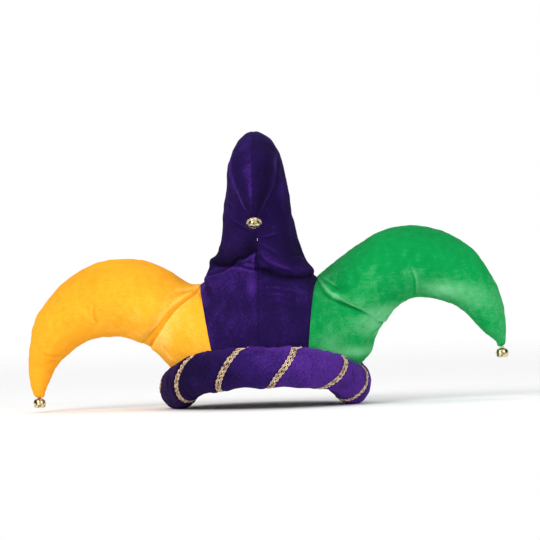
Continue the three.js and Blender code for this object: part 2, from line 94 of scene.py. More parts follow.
def rise(value, start, end):
    """0 before start, 1 past end, and an S curve between."""
    share = np.clip((value - start) / (end - start), 0, 1)
    return share * share * (3 - 2 * share)


def whole_turn(count):
    """Angles that divide a whole turn evenly, from 0."""
    return np.linspace(0, 2 * np.pi, count, endpoint=False)


def volume_inside(points, quads):
    """Six times the volume inside quads: the triple products of their two halves, added up."""
    first, second, third, fourth = (points[quads[:, corner]] for corner in range(4))
    return np.einsum("ij,ij->", first, np.cross(second, third) + np.cross(third, fourth))


def smooth_piece(name, points, faces, material, nap_and_light=None):
    """A smooth mesh that rides on the hat, from points in millimetres and each point's value of pile lie and
    painted light.
    """
    mesh = bpy.data.meshes.new(name)
    mesh.from_pydata((points * 0.001).tolist(), [], faces)
    mesh.polygons.foreach_set("use_smooth", [True] * len(mesh.polygons))
    if nap_and_light is not None:
        mesh.attributes.new("nap_and_light", "FLOAT", "POINT").data.foreach_set("value", nap_and_light.astype(np.float32))
    mesh.materials.append(material)
    piece = bpy.data.objects.new(name, mesh)
    bpy.context.collection.objects.link(piece)
    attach(piece, "root")
    return piece


def skin(name, grid, material, nap_and_light=0.0, poles=None, rows_meet=False):
    """A closed mesh on a grid whose rows are rings. The ring of rings closes on itself, or each end ring
    closes on a pole. Its faces are turned outwards by the sign of the volume inside."""
    rows, columns = grid.shape[:2]
    here = np.arange(rows * columns).reshape(rows, columns)
    beside = np.roll(here, -1, 1)
    ahead, ahead_beside = np.roll(here, -1, 0), np.roll(beside, -1, 0)
    kept = slice(None) if rows_meet else slice(0, -1)
    quads = np.stack([here[kept], beside[kept], ahead_beside[kept], ahead[kept]], -1).reshape(-1, 4)
    points = grid.reshape(-1, 3)
    inside_out = volume_inside(points, quads) < 0
    faces = quads.tolist()
    values = np.broadcast_to(nap_and_light, (rows, columns)).reshape(-1)
    if poles is not None:
        last = rows * columns
        points = np.concatenate([points, poles])
        values = np.concatenate([values, values[[0, -1]]])
        first_fan = np.stack([np.full(columns, last), beside[0], here[0]], -1)
        last_fan = np.stack([np.full(columns, last + 1), here[-1], beside[-1]], -1)
        faces += first_fan.tolist() + last_fan.tolist()
    if inside_out:
        faces = [face[::-1] for face in faces]
    return smooth_piece(name, points, faces, material, values)


def linear(colour):
    """An sRGB hex colour as the linear RGBA that shaders take."""
    values = [int(colour[start : start + 2], 16) / 255 for start in (1, 3, 5)]
    return [v / 12.92 if v <= 0.04045 else ((v + 0.055) / 1.055) ** 2.4 for v in values] + [1]


def new_material(name, constants):
    """A node material with constants on its Principled shader's sockets. Gives the material, that shader, a
    function that adds a node with its inputs and settings, and one that links two sockets."""
    material = bpy.data.materials.new(name)
    material.use_nodes = True
    tree = material.node_tree
    shader = tree.nodes["Principled BSDF"]
    for key, value in constants.items():
        shader.inputs[key].default_value = value

    def add(kind, inputs=(), **settings):
        node = tree.nodes.new(kind)
        for key, value in settings.items():
            setattr(node, key, value)
        for key, value in dict(inputs).items():
            if isinstance(value, bpy.types.NodeSocket):
                tree.links.new(value, node.inputs[key])
            else:
                node.inputs[key].default_value = value
        return node

    return material, shader, add, tree.links.new


def noise(add, place, scale, detail):
    """Soft noise over a place in metres, with scale lumps to the metre."""
    return add("ShaderNodeTexNoise", {"Vector": place, "Scale": scale, "Detail": detail}).outputs["Fac"]


def bump(add, height, strength, distance):
    """A normal bent by a height, which stands for a rise of distance in metres."""
    bent = add("ShaderNodeBump", {"Height": height, "Strength": strength, "Distance": distance})
    return bent.outputs["Normal"]


def colour_ramp(add, value, *stops):
    """The colour that a value picks from a ramp through stops, each a place from 0 to 1 and a colour."""
    ramp = add("ShaderNodeValToRGB", {"Fac": value})
    elements = ramp.color_ramp.elements
    for place, _ in stops[1:-1]:
        elements.new(place)
    for element, (place, colour) in zip(elements, stops):
        element.position, element.color = place, linear(colour)
    return ramp.outputs["Color"]


def velvet(name, deep, middle, lit, mottle=1.0, lean=(1, 1, 0.7)):
    """Short pile velvet. A point attribute carries the pile's lie together with painted light: high values
    pick the lit colour as a painted highlight, and low ones the deep colour as painted shade. The pile lies
    unevenly in patches of about 17 mm and of 3 mm, the small ones stretched along the rows of the weave, and
    its tufts are about 1.6 mm apart."""
    material, shader, add, link = new_material(name, {
        "Roughness": 0.9,
        "Specular IOR Level": 0.08,
        "Sheen Weight": 0.16,
        "Sheen Roughness": 0.45,
        "Sheen Tint": linear(lit),
    })
    place = add("ShaderNodeTexCoord").outputs["Object"]
    nap_and_light = add("ShaderNodeAttribute", attribute_name="nap_and_light").outputs["Fac"]
    leaning = add("ShaderNodeMapping", {"Vector": place, "Scale": lean}).outputs["Vector"]
    # lie starts from the attribute, which carries painted highlights and painted shade along with the pile's
    # lie.
    lie = add("ShaderNodeMath", {0: nap_and_light, 1: 0.5, 2: 0.5}, operation="MULTIPLY_ADD").outputs[0]
    # Each row: where the noise is taken, its lumps to the metre, its detail and its share of the mottle.
    for vector, scale, detail, share in (
        (place, 60, 3, 0.2),
        (leaning, 380, 2, 0.45),
        (place, 620, 1, 0.55),
    ):
        patches, strength = noise(add, vector, scale, detail), share * mottle
        part = add("ShaderNodeMath", {0: patches, 1: strength, 2: -strength / 2}, operation="MULTIPLY_ADD")
        lie = add("ShaderNodeMath", {0: lie, 1: part.outputs[0]}).outputs[0]
    link(colour_ramp(add, lie, (0, deep), (0.5, middle), (1, lit)), shader.inputs["Base Color"])
    link(bump(add, lie, 0.5, 0.0012), shader.inputs["Normal"])
    return material


def around_to(turn, place):
    """How far a turn round the section is from a place on it, in radians, whichever way is shorter."""
    return np.abs((turn - place + np.pi) % (2 * np.pi) - np.pi)


def roll_swell(angle, turn):
    """How far the stuffed tube stands off an even oval: slow lumps, ripples that fade out from the crown's
    seam and across the inside, a hollow below on the right, and upright wrinkles where the roll bends."""
    spot = roll_point(angle, turn)
    ripples = unevenness(spot * [1, 1, 0.2], 8, 5)
    swell = 0.9 * unevenness(spot, 42, 3) + 0.35 * unevenness(spot, 15, 4)
    swell += ripples * hump(around_to(turn, crown_seat) * tube_arc, 9)
    swell += 0.8 * ripples * hump(around_to(turn, np.pi), 0.9)
    swell -= 3.6 * hump(angle - np.radians(50), 0.26) * hump(around_to(turn, -np.pi / 2) - 0.3, 0.7)
    # Each wrinkle: its degrees round the head, and its depth.
    for wrinkle, deep in ((60, 1.1), (65, 1.6), (71, 1.3), (-63, 0.8)):
        bent = np.radians(wrinkle) + 0.03 * np.sin(turn * 2 + wrinkle)
        swell -= deep * hump((angle - bent) * bend_arc, 1.7) * hump(around_to(turn, 0.1), 0.55)
    return swell


roll_velvet = velvet("roll_velvet_pile", "#12052c", "#2b1458", "#5a2e93")
roll_angle = whole_turn(roll_rings)[:, None] - np.pi
roll_turn = np.radians(70) - whole_turn(roll_columns)[None, :]
plain_roll = roll_point(roll_angle, roll_turn)
to_braids = [around_to(roll_angle, braid_angle(crossing, roll_turn)) for crossing in braid_crossings]
to_braid = np.min(to_braids, axis=0) * head_arc
from_seat = around_to(roll_turn, crown_seat) * tube_arc
pressed = 1.4 * hump(to_braid, 3.6) - 0.7 * hump(to_braid - 9, 6)
# Painted light: the roll is painted darker on the left and lighter on the right, with painted shade in the
# braid's grooves and at the seam and painted highlights in bands beside the seam; a lighter band runs low
# round its outside.
roll_nap_and_light = 1.4 * rise(plain_roll[..., 0], -95, 75) - 0.9
roll_nap_and_light = roll_nap_and_light + 0.16 * unevenness(plain_roll, 30, 6) - 0.5 * hump(to_braid, 4.5)
roll_nap_and_light += 0.35 * hump(from_seat - 13, 6) - 0.4 * hump(from_seat, 4)
roll_nap_and_light += 0.3 * hump(around_to(roll_turn, -1.25), 0.2)
brim = skin(
    "roll_velvet_tube",
    roll_point(roll_angle, roll_turn, roll_swell(roll_angle, roll_turn) - pressed),
    roll_velvet,
    roll_nap_and_light,
    rows_meet=True,
)
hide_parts("brim_roll")


# The crown's back: one plain panel of purple velvet with its backing, 2.5 mm thick, sewn to the two side
# panels, to the front panel along the top and to the roll. The photo hides it, so it is finished plainly.
crown_half_width, crown_half_length = 102.5, 116.0
crown_base, crown_rise, cloth_wall = 45.0, 119.0, 2.5
green_seam, yellow_seam = (52.0, 0.09), (45.0, 0.19)
half_seam_gap, sewn_into_roll = 0.15, 8.0
back_columns, back_rows = 124, 140
back_width, back_length = 118.0, 130.0


def dome_value(points, shrink=0.0):
    """1 on the crown's dome and less inside: cubes of the share out in plan and of the share up."""
    half_width, half_length = crown_half_width - shrink, crown_half_length - shrink
    plan = np.hypot(points[..., 0] / half_width, points[..., 1] / half_length)
    up = np.maximum(0, points[..., 2] - crown_base) / (crown_rise - shrink)
    return plan**3 + up**3


def on_dome(points, shrink=0.0):
    """Points moved straight out from the middle of the crown's base, or in, until they lie on the dome."""
    grow = dome_value(points, shrink) ** (-1 / 3)
    x, y, z = points[..., 0], points[..., 1], points[..., 2]
    height = np.where(z > crown_base, crown_base + (z - crown_base) * grow, z)
    return np.stack([x * grow, y * grow, height], -1)


def seam_x(seam, z):
    """How far out a seam lies at a height: it leans out as it rises."""
    return seam[0] + seam[1] * z


def foot_height(angle):
    """Height of the crown's edge, which is sewn into the roll's top."""
    return roll_centre_height(angle) + roll_half_tall - sewn_into_roll


def foot_point(angle):
    """The crown's edge at an angle round the head."""
    x, y = crown_half_width * np.sin(angle), -crown_half_length * np.cos(angle)
    return np.stack(np.broadcast_arrays(x, y, foot_height(angle)), -1)


def dome_arc(angle, place_x):
    """Where rays from the crown's base, at an angle above the front, meet the dome. place_x gives each
    point's x from its height, and the distance along the ray comes from halving 480 mm 40 times."""
    near, far = np.zeros(np.shape(angle)), np.full(np.shape(angle), 480.0)
    for _ in range(40):
        middle = (near + far) / 2
        z = crown_base + middle * np.sin(angle)
        inside = dome_value(np.stack([place_x(z), -middle * np.cos(angle), z], -1)) < 1
        near, far = np.where(inside, middle, near), np.where(inside, far, middle)
    z = crown_base + near * np.sin(angle)
    return np.stack([place_x(z), -near * np.cos(angle), z], -1)


def seam_angle(seam):
    """The angle round the head at which a seam meets the roll in front."""
    return np.arcsin(seam_x(seam, foot_height(0)) / crown_half_width)


def seam_point(seam, share):
    """A seam on the right-hand side, from its front foot (0) over the top to its back foot (1)."""
    angle = seam_angle(seam)
    start = np.arctan2(foot_height(angle) - crown_base, crown_half_length * np.cos(angle))
    return dome_arc(start + (np.pi - 2 * start) * share, lambda z: seam_x(seam, z))


def cloth(name, outer, inner, material, nap_and_light):
    """A closed mesh between an outer and an inner grid of the same size, joined along their borders."""
    rows, columns = outer.shape[:2]
    front = np.arange(rows * columns).reshape(rows, columns)
    back = front + rows * columns
    panels = [
        np.stack([front[:-1, :-1], front[:-1, 1:], front[1:, 1:], front[1:, :-1]], -1).reshape(-1, 4),
        np.stack([back[:-1, :-1], back[1:, :-1], back[1:, 1:], back[:-1, 1:]], -1).reshape(-1, 4),
    ]
    for edge, other in (
        (front[0], back[0]),
        (front[-1][::-1], back[-1][::-1]),
        (front[:, 0][::-1], back[:, 0][::-1]),
        (front[:, -1], back[:, -1]),
    ):
        panels.append(np.stack([edge[1:], edge[:-1], other[:-1], other[1:]], -1))
    quads = np.concatenate(panels)
    points = np.concatenate([outer.reshape(-1, 3), inner.reshape(-1, 3)])
    if volume_inside(points, quads) < 0:
        quads = quads[:, ::-1]
    values = np.concatenate([nap_and_light.reshape(-1), np.full(rows * columns, -0.3)])
    return smooth_piece(name, points, quads.tolist(), material, values)


purple_velvet = velvet("purple_velvet_pile", "#0b021e", "#1e0c43", "#4e2688", 0.65)
across = np.linspace(0, 1, back_columns)[None, :]
down = np.linspace(0, 1, back_rows)[:, None]
panel_x = lambda z: (1 - across) * -seam_x(yellow_seam, z) + across * seam_x(green_seam, z)
back_foot_angle = np.arcsin(panel_x(foot_height(np.pi)) / crown_half_width)
back_foot_up = foot_height(back_foot_angle) - crown_base
end_angle = np.pi - np.arctan2(back_foot_up, crown_half_length * np.cos(back_foot_angle))
back_outer = dome_arc(np.pi / 2 + 0.002 + (end_angle - np.pi / 2) * down, panel_x)
back_inner = on_dome(back_outer, cloth_wall)
side_gap = np.minimum(across, 1 - across) * back_width + 0 * down
top_gap, foot_gap = down * back_length + 0 * across, (1 - down) * back_length + 0 * across
at_seams = hump(side_gap, 8) + hump(foot_gap, 10) + hump(top_gap, 8)
back_swell = 1.2 * unevenness(back_outer, 46, 11) + 0.35 * unevenness(back_outer, 14, 12)
back_swell += 0.8 * unevenness(back_outer, 7, 13) * at_seams
back_swell += 1.5 * rise(side_gap, 0, 9) * rise(top_gap, 0, 9) * rise(foot_gap, 0, 9) - 0.9
back_outer = back_outer * (1 + (back_swell / np.linalg.norm(back_outer, axis=-1))[..., None])
# Random patches, a little darker overall, and painted shade along the seams at the panel's sides and top.
back_nap_and_shade = 0.12 * unevenness(back_outer, 44, 14) - 0.1 - 0.4 * hump(np.minimum(side_gap, top_gap), 2.5)
back = cloth("back_crown_panel", back_outer, back_inner, purple_velvet, back_nap_and_shade)
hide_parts("back_panel")


# The middle horn and the crown's front, in purple velvet: two mirrored pieces sewn down the middle, with
# the pile lying each its own way. The stuffed horn sags over the panel in a fold, and its tip hangs forward.
purple_length, purple_rise, purple_plump = 128.0, 166.0, 58.0
ring_spacing, lining_rings = 1.5, 26
# Each row: forward and up of the front edge, the same of the back edge, and half the thickness, as shares.
purple_rows = np.array([
    (0.875, 0.30, 0.01, 0.76, 1.06),
    (0.80, 0.54, 0.01, 0.84, 1.02),
    (0.66, 0.70, 0.012, 0.92, 0.92),
    (0.71, 0.81, 0.02, 1.00, 0.83),
    (0.73, 0.97, 0.04, 1.15, 0.73),
    (0.73, 1.12, 0.11, 1.33, 0.67),
    (0.75, 1.24, 0.24, 1.53, 0.61),
    (0.785, 1.30, 0.44, 1.69, 0.54),
    (0.82, 1.305, 0.68, 1.73, 0.49),
    (0.85, 1.285, 0.92, 1.65, 0.48),
    (0.87, 1.25, 1.05, 1.50, 0.45),
    (0.885, 1.20, 1.08, 1.34, 0.33),
    (0.92, 1.15, 1.06, 1.20, 0.18),
    (0.96, 1.125, 1.02, 1.125, 0.08),
])


def section(inner, outer, half_across, angle):
    """A horn's section: an oval from the inner to the outer edge, its sewn edges a little pointed."""
    side = np.sign(np.sin(angle)) * np.abs(np.sin(angle)) ** 1.15
    middle, half = (inner + outer) / 2, (outer - inner) / 2
    return middle + half * np.cos(angle)[:, None] + half_across * side[:, None]


def loft(knots, spacing):
    """Rings from the first row of knots to the last, about spacing apart: each column is a centripetal
    Catmull-Rom curve through its knots, run past both ends in a straight line."""
    steps = np.linalg.norm(np.diff(knots, axis=0), axis=-1).mean(axis=1)
    shares = [k + np.arange(n) / n for k, n in enumerate(np.ceil(steps / spacing).astype(int))]
    place = np.append(np.concatenate(shares), len(knots) - 1)
    padded = np.concatenate([2 * knots[:1] - knots[1:2], knots, 2 * knots[-1:] - knots[-2:-1]])
    start = np.minimum(place.astype(int), len(knots) - 2)
    w = (place - start)[:, None, None]
    a, b, c, d = (padded[start + step] for step in range(4))
    gap = [np.sqrt(np.linalg.norm(q - p, axis=-1, keepdims=True)) for p, q in ((a, b), (b, c), (c, d))]
    gap = [np.where(one < 1e-3, np.maximum(gap[1], 1e-3), one) for one in gap]
    leave = ((b - a) / gap[0] - (c - a) / (gap[0] + gap[1]) + (c - b) / gap[1]) * gap[1]
    arrive = ((c - b) / gap[1] - (d - b) / (gap[1] + gap[2]) + (d - c) / gap[2]) * gap[1]
    return b + leave * w + (3 * (c - b) - 2 * leave - arrive) * w**2 + (2 * (b - c) + leave + arrive) * w**3


def rounded_tip(grid, tip):
    """Closes a horn: its last ring shrinks to its tip along a quarter of an oval, in six more rings."""
    last, middle = grid[-1:], grid[-1].mean(axis=0)
    turn = np.linspace(0, np.pi / 2, 8)[1:-1, None, None]
    return np.concatenate([grid, middle + (last - middle) * np.cos(turn) + (tip - middle) * np.sin(turn)])


def outward(grid):
    """Unit normals of a grid of rings: the cross product of its two directions, turned away from each
    ring's middle."""
    around = np.roll(grid, -1, 1) - np.roll(grid, 1, 1)
    normal = np.cross(around, np.gradient(grid, axis=0))
    normal /= np.maximum(np.linalg.norm(normal, axis=-1, keepdims=True), 1e-9)
    away = grid - grid.mean(axis=1, keepdims=True)
    return normal * np.sign((normal * away).sum())


def along_rings(grid):
    """Distance round each ring from its first column, the ring's whole length, and the distance from the
    first ring, taken down the middle of the rings."""
    steps = np.linalg.norm(np.roll(grid, -1, 1) - grid, axis=-1)
    around = np.cumsum(steps, axis=1) - steps
    middles = grid.mean(axis=1)
    down = np.concatenate([[0], np.cumsum(np.linalg.norm(np.diff(middles, axis=0), axis=-1))])
    return around, steps.sum(axis=1, keepdims=True), down[:, None] + 0 * around


def crease(grid, path, deep, steep, gentle, start=1.0, finish=0.0):
    """A fold seen from the front, along a path of (x, z) points. On its left the cloth comes down steeply
    from a full shoulder, and on its right it climbs back gently. It is start deep at its first point and
    finish at its last, as shares of its depth half way. Gives the rise, and painted light: a painted
    highlight on its left edge and shoulder, and painted shade just right of its line."""
    spots = loft(np.pad(np.array(path, float), ((0, 0), (0, 1)))[:, None, :], 2.5)[:, 0, :2]
    seen = grid[..., (0, 2)]
    best = np.full(seen.shape[:2], 1e9)
    signed, share = np.zeros(seen.shape[:2]), np.zeros(seen.shape[:2])
    for step, (begin, end) in enumerate(zip(spots[:-1], spots[1:])):
        line = end - begin
        run = ((seen - begin) @ line) / (line @ line)
        gap = seen - begin - np.clip(run, 0, 1)[..., None] * line
        far = np.hypot(gap[..., 0], gap[..., 1])
        nearer = far < best
        best = np.where(nearer, far, best)
        signed = np.where(nearer, far * np.sign(line[0] * gap[..., 1] - line[1] * gap[..., 0]), signed)
        share = np.where(nearer, (step + np.clip(run, 0, 1)) / (len(spots) - 1), share)
    fade = np.interp(share, [0, 0.35, 0.65, 1], [start, 1, 1, finish])
    fade = fade * np.where((share <= 0) | (share >= 1), hump(best, 3 * steep), 1)
    left = signed > 0
    drop = np.exp(-best / np.where(left, steep, gentle))
    shoulder = np.where(left, (1 - drop) * np.exp(-best / (4.5 * steep)), 0)
    lift = deep * fade * (0.9 * shoulder - drop)
    # ridge is a painted highlight along the fold's left edge, and shade is painted shade just right of the
    # fold's line.
    ridge, shade = left * hump(best - 1.8, 1.4), hump(np.where(left, -best, best) - 1.0, 1.8)
    return lift, fade * (0.9 * ridge + 0.4 * shoulder - shade)


def add_creases(swell, nap_and_light, grid, creases, in_front, light_share, most):
    """Adds creases to a rise and to the painted light, both faded by in_front. Each crease's painted
    highlight and shade are as strong as a share of its depth, up to the most given."""
    for path, *shape in creases:
        lift, crease_light = crease(grid, path, *shape)
        swell += lift * in_front
        nap_and_light += min(most, light_share * shape[0]) * crease_light * in_front


def spots(grid, rows):
    """Painted highlights and painted shade, seen from the front: a sum of oval humps, each given by its
    middle (x, z), its half width and height, and its strength."""
    x, z = grid[..., 0], grid[..., 2]
    return sum(by * hump(x - mid_x, wide) * hump(z - mid_z, tall) for mid_x, mid_z, wide, tall, by in rows)


def from_edges(around, whole):
    """Distance round each ring to the nearer sewn edge: one is its first column, the other half way on."""
    half = around.shape[1] // 2
    return np.minimum(np.minimum(around, whole - around), np.abs(around - around[:, half : half + 1]))


def seam_on(distance, points, seed, deep=1.1):
    """A sewn seam: a narrow groove, and puckers about 7 mm apart that fade out to both sides of it."""
    puckers = unevenness(points, 7, seed) * hump(distance, 7) * rise(distance, 0, 2.5)
    return 0.22 * puckers - deep * hump(distance, 1.5)


def horn_piece(name, rim, grid, tip, material, nap_and_light, heart, lining_nap=-0.6):
    """A horn's skin, closed on the inside by its panel's backing, which lines the crown's dome: rings drawn
    in from the rim to a heart."""
    closing = np.linspace(0.04, 1, lining_rings)[:, None, None]
    lining = on_dome(heart + (rim - heart) * closing, cloth_wall)
    return skin(
        name,
        np.concatenate([lining, grid]),
        material,
        np.concatenate([np.full(lining.shape[:2], lining_nap), nap_and_light]),
        poles=[on_dome(heart, cloth_wall), tip],
    )


# Round the rim in 30 steps from the middle of the front: 3 along the roll, 8 up the right seam and 8 over
# the top to the left one, then back down. The horn's section turns by 40 and 112 degrees at those corners.
purple_columns, rim_steps, corner_step, shoulder_step = 300, 30, 3, 11
step = np.linspace(0, rim_steps, purple_columns, endpoint=False)
half_step = np.minimum(step, rim_steps - step)
side_sign = np.where(half_step == step, 1.0, -1.0)
purple_angle = side_sign * np.interp(
    half_step, [0, corner_step, shoulder_step, rim_steps / 2], np.radians([0, 40, 112, 180])
)
purple_rim = np.zeros((purple_columns, 3))
for sign, seam in ((1, green_seam), (-1, yellow_seam)):
    mine = (side_sign == sign) & (half_step <= shoulder_step)
    low, mid = mine & (half_step < corner_step), mine & (half_step >= corner_step)
    purple_rim[low] = foot_point(sign * seam_angle(seam) * half_step[low] / corner_step)
    share = (half_step[mid] - corner_step) / (shoulder_step - corner_step) / 2
    purple_rim[mid] = seam_point(seam, share) * [sign, 1, 1]
tops = [seam_point(seam, np.array(0.5)) for seam in (green_seam, yellow_seam)]
green_top, yellow_top = (np.arctan2(top[0], top[2] - crown_base) for top in tops)
over = half_step > shoulder_step
over_angle = np.interp(step[over], [shoulder_step, rim_steps - shoulder_step], [green_top, -yellow_top])
sideways, upright = np.sin(over_angle), np.cos(over_angle)
reach = (np.abs(sideways / crown_half_width) ** 3 + (upright / crown_rise) ** 3) ** (-1 / 3)
purple_rim[over] = np.stack([reach * sideways, 0 * reach, crown_base + reach * upright], -1)
edge = lambda forward, up: np.array([0, -forward * purple_length, crown_base + up * purple_rise])
purple_knots = np.stack([purple_rim] + [
    section(edge(back, back_up), edge(front, front_up), np.array([plump * purple_plump, 0, 0]), purple_angle)
    for front, front_up, back, back_up, plump in purple_rows
])
last_row = purple_rows[-1]
purple_tip = edge((last_row[0] + last_row[2]) / 2, last_row[1] - 0.028)
purple_grid = rounded_tip(loft(purple_knots, ring_spacing), purple_tip)
purple_grid = np.where((dome_value(purple_grid) < 1)[..., None], on_dome(purple_grid), purple_grid)
around, whole, along = along_rings(purple_grid)
# These look into the grid, so they follow its later changes.
x, y, z = (purple_grid[..., axis] for axis in range(3))
from_seam = from_edges(around, whole)
facing = outward(purple_grid)
in_front = rise(-facing[..., 1], -0.15, 0.35)
on_flanks = rise(np.abs(facing[..., 0]), 0.5, 0.9) * rise(z, 168, 190)
purple_swell = unevenness(purple_grid, 48, 21) + 0.35 * unevenness(purple_grid, 16, 22)
purple_swell += 0.55 * unevenness(purple_grid, 17, 27) * on_flanks
purple_nap_and_light = 0.14 * unevenness(purple_grid, 30, 23) + 0.06 * unevenness(purple_grid, 11, 28)
purple_nap_and_light += np.where(x < 0, 0.0, -0.1)
# Painted shade in the groove of the middle seam.
purple_nap_and_light -= 0.22 * hump(from_seam, 1.3)

# The fold where the horn sags: its height for each x, and how far over it a point lies. On the left a
# bulge hangs over its end. Painted shade darkens the horn over the fold and the fold's shadow, and painted
# highlights brighten a band over it on the right and the panel under it on the left.
low_fold = np.interp(
    x, [-62, -50, -33, -20, -2, 0, 14, 34, 55, 74], [158, 168, 168, 175, 187, 168, 165, 159, 157, 160]
)
above = z - low_fold
on_left = rise(-x, -1, 3)
sag = 1.8 * hump(above - 14, 13) - 1.2 * hump(above + 2, 5) + 1.5 * hump(above + 16, 10)
purple_swell += in_front * sag * (1 - rise(x, 36, 56))
purple_swell += 6.5 * hump(z - 176, 5) * rise(-x, 40, 50) * rise(-y, 5, 25)
shadow = (0.55 * on_left + 0.15) * hump(np.maximum(above - 6, 0), 18) + 0.1
purple_nap_and_light -= in_front * rise(above, 0, 3) * (shadow + 0.4 * rise(x, 18, 40) * hump(above - 34, 30))
purple_nap_and_light += in_front * rise(x, 0, 6) * (0.3 * hump(above - 7, 5) - 0.75 * hump(above + 3, 4.5))
purple_nap_and_light += in_front * on_left * 0.1 * hump(above + 7, 7) * rise(x, -46, -14)
# Each crease: its path, depth, steep and gentle widths, and the depth's shares at its first and last point.
purple_creases = (
    (
        [(-1.5, 187), (-10, 183), (-16, 179), (-23, 179), (-28, 174), (-34, 171), (-46, 171), (-54, 174)],
        4.2, 2.0, 5, 0.8, 0.7,
    ),
    ([(-3, 173), (-12, 175), (-22, 173)], 1.6, 1.6, 2.5, 0.5, 0.2),
    ([(-5, 166), (-14, 169), (-22, 171), (-32, 170), (-42, 165), (-58, 159)], 2.6, 1.8, 3, 0.8, 0.6),
    ([(-3.5, 166), (-2.5, 177), (-1.5, 188)], 2.0, 1.6, 2, 0.9, 0.5),
    ([(-2.5, 167), (14, 165), (34, 159), (52, 157), (68, 159)], 4.2, 2.4, 5, 0.7, 0.1),
    ([(2, 187), (9, 176), (18, 168), (30, 162)], 1.6, 1.8, 3, 0.3, 0.3),
    ([(3, 181), (16, 173), (30, 164.5), (44, 159), (58, 161)], 2.2, 1.8, 3, 0.3, 0.2),
    ([(4, 196), (14, 190), (26, 180)], 1.4, 2.0, 4, 0.2, 0.0),
    ([(2.5, 203), (14, 204.5), (31, 209)], 1.8, 1.7, 3, 0.6, 0.0),
    ([(-34, 229), (-20, 219), (-5, 210)], 2.0, 1.8, 3, 0.0, 0.5),
    ([(2, 150), (22, 148), (48, 144)], 0.9, 1.8, 3, 0.3, 0.0),
    ([(3, 142), (26, 141), (56, 133)], 0.9, 1.8, 3, 0.3, 0.0),
    ([(6, 135), (26, 134), (50, 126)], 0.8, 1.8, 3, 0.3, 0.0),
    ([(14, 127), (30, 125), (44, 120)], 0.6, 1.8, 3, 0.3, 0.0),
    ([(-56, 192), (-46, 189), (-36, 191)], 1.4, 1.6, 3, 0.6, 0.0),
    ([(56, 178), (46, 181), (36, 180)], 1.4, 1.6, 3, 0.6, 0.0),
    ([(-37, 247), (-31, 243), (-27, 236)], 1.4, 1.5, 3, 0.8, 0.0),
)
# The creases bring painted highlights and painted shade as well as their rise.
add_creases(purple_swell, purple_nap_and_light, purple_grid, purple_creases, in_front, 0.2, 0.5)
# Painted highlights where the panel and the horn are lit.
purple_light_spots = (
    (10, 192, 10, 16, 0.25), (36, 212, 12, 16, 0.12), (-9, 146, 6, 14, 0.42), (-66, 145, 5, 16, 0.4),
)
purple_nap_and_light += in_front * spots(purple_grid, purple_light_spots)

# Painted light on the tip that hangs in front: painted highlights at its top left, beside its seam and along
# its two side folds, and painted shade over the rest, more on its right and past the folds.
tongue = rise(-y, 96, 112) * rise(z, 215, 240)
top_left, beside_seam = rise(z, 265, 300) * rise(-x, -8, 8), hump(x + 3, 3.5) * hump(z - 262, 24)
side_fold, past_fold = hump(np.abs(purple_angle) - 1.75, 0.22), hump(np.abs(purple_angle) - 2.3, 0.35)
purple_nap_and_light += tongue * (0.3 * top_left + 0.45 * beside_seam - 0.1 - 0.1 * rise(x, 0, 8))
purple_nap_and_light += tongue * (0.5 * side_fold - 0.2 * past_fold)
purple_swell += seam_on(from_seam, purple_grid, 24, 0.5)
purple_swell -= 1.2 * hump(along, 2.5)
purple_swell *= rise(along, 0, 3) * 0.8 + 0.2
purple_grid += facing * purple_swell[..., None]

# The top leans to the left, and the fold's ends spill out over the side panels. Elsewhere the cloth stops
# half a gap short of its neighbours.
x += 2.4 * hump(z - 318, 16) * rise(-x, 5, 30)
z -= 1.4 * rise(z, 295, 330)
toward_front = rise(-y, 10, 35)
spill = 7 * hump(z - 162, 10) * toward_front
x += spill * rise(x, 46, 62)
x -= 6 * hump(z - 157, 12) * toward_front * rise(-x, 42, 56)
x[...] = np.clip(x, half_seam_gap - seam_x(yellow_seam, z), seam_x(green_seam, z) - half_seam_gap + spill)
y[...] = np.minimum(y, -half_seam_gap)
purple = horn_piece(
    "purple_horn_and_front", purple_rim, purple_grid, purple_tip, purple_velvet, purple_nap_and_light,
    np.array([0, -80.0, 100.0]), -0.4,
)
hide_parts("horn_purple")

def ring_of_wire(path, out, square, radius, sides):
    """A closed wire along a flat ring: round sections between each point's way out and the ring's axis."""
    turn = whole_turn(sides)[None, :, None]
    return path[:, None] + radius * (np.cos(turn) * out[:, None] + np.sin(turn) * square)


# One white stitch shows on the horn's front, below the tip: a small upright loop half sunk in the velvet.
thread, *_ = new_material("white_sewing_thread", {"Base Color": linear("#e9e4da"), "Roughness": 0.7})
stitch_x, stitch_z, stitch_half_tall, stitch_half_deep = 1.0, 202.0, 1.3, 0.6
near = (y < -40) & (np.hypot(x - stitch_x, z - stitch_z) < 3)
bend = whole_turn(16)[:, None]
spoke = np.cos(bend) * [0, 0, stitch_half_tall] + np.sin(bend) * [0, stitch_half_deep, 0]
spoke_way = spoke / np.linalg.norm(spoke, axis=-1, keepdims=True)
stitch_path = np.array([stitch_x, y[near].mean() - 0.5, stitch_z]) + spoke
stitch = skin(
    "front_stitch", ring_of_wire(stitch_path, spoke_way, np.array([1, 0, 0]), 0.25, 8), thread, rows_meet=True
)
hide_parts("horn_purple")


# The left horn and the crown's left side, in yellow velvet: a front and a back piece sewn along the
# outer and the inner edge and stuffed. It bends down from the crown, so the cloth creases where it turns.
horn_plump, horn_columns, place_base = 54.0, 288, 47.0
# Each row: out and up of the outer edge, the same of the inner edge, and half the thickness, as shares.
yellow_rows = np.array([
    (-0.057, 0.778, 0.192, 0.185, 0.93),
    (0.057, 0.867, 0.268, 0.237, 0.97),
    (0.23, 0.963, 0.36, 0.289, 0.87),
    (0.42, 0.978, 0.452, 0.304, 0.78),
    (0.595, 0.915, 0.562, 0.281, 0.71),
    (0.775, 0.763, 0.687, 0.193, 0.63),
    (0.905, 0.533, 0.78, 0.089, 0.53),
    (0.965, 0.311, 0.84, -0.044, 0.40),
    (0.986, 0.059, 0.878, -0.148, 0.25),
    (0.96, -0.17, 0.885, -0.185, 0.11),
])


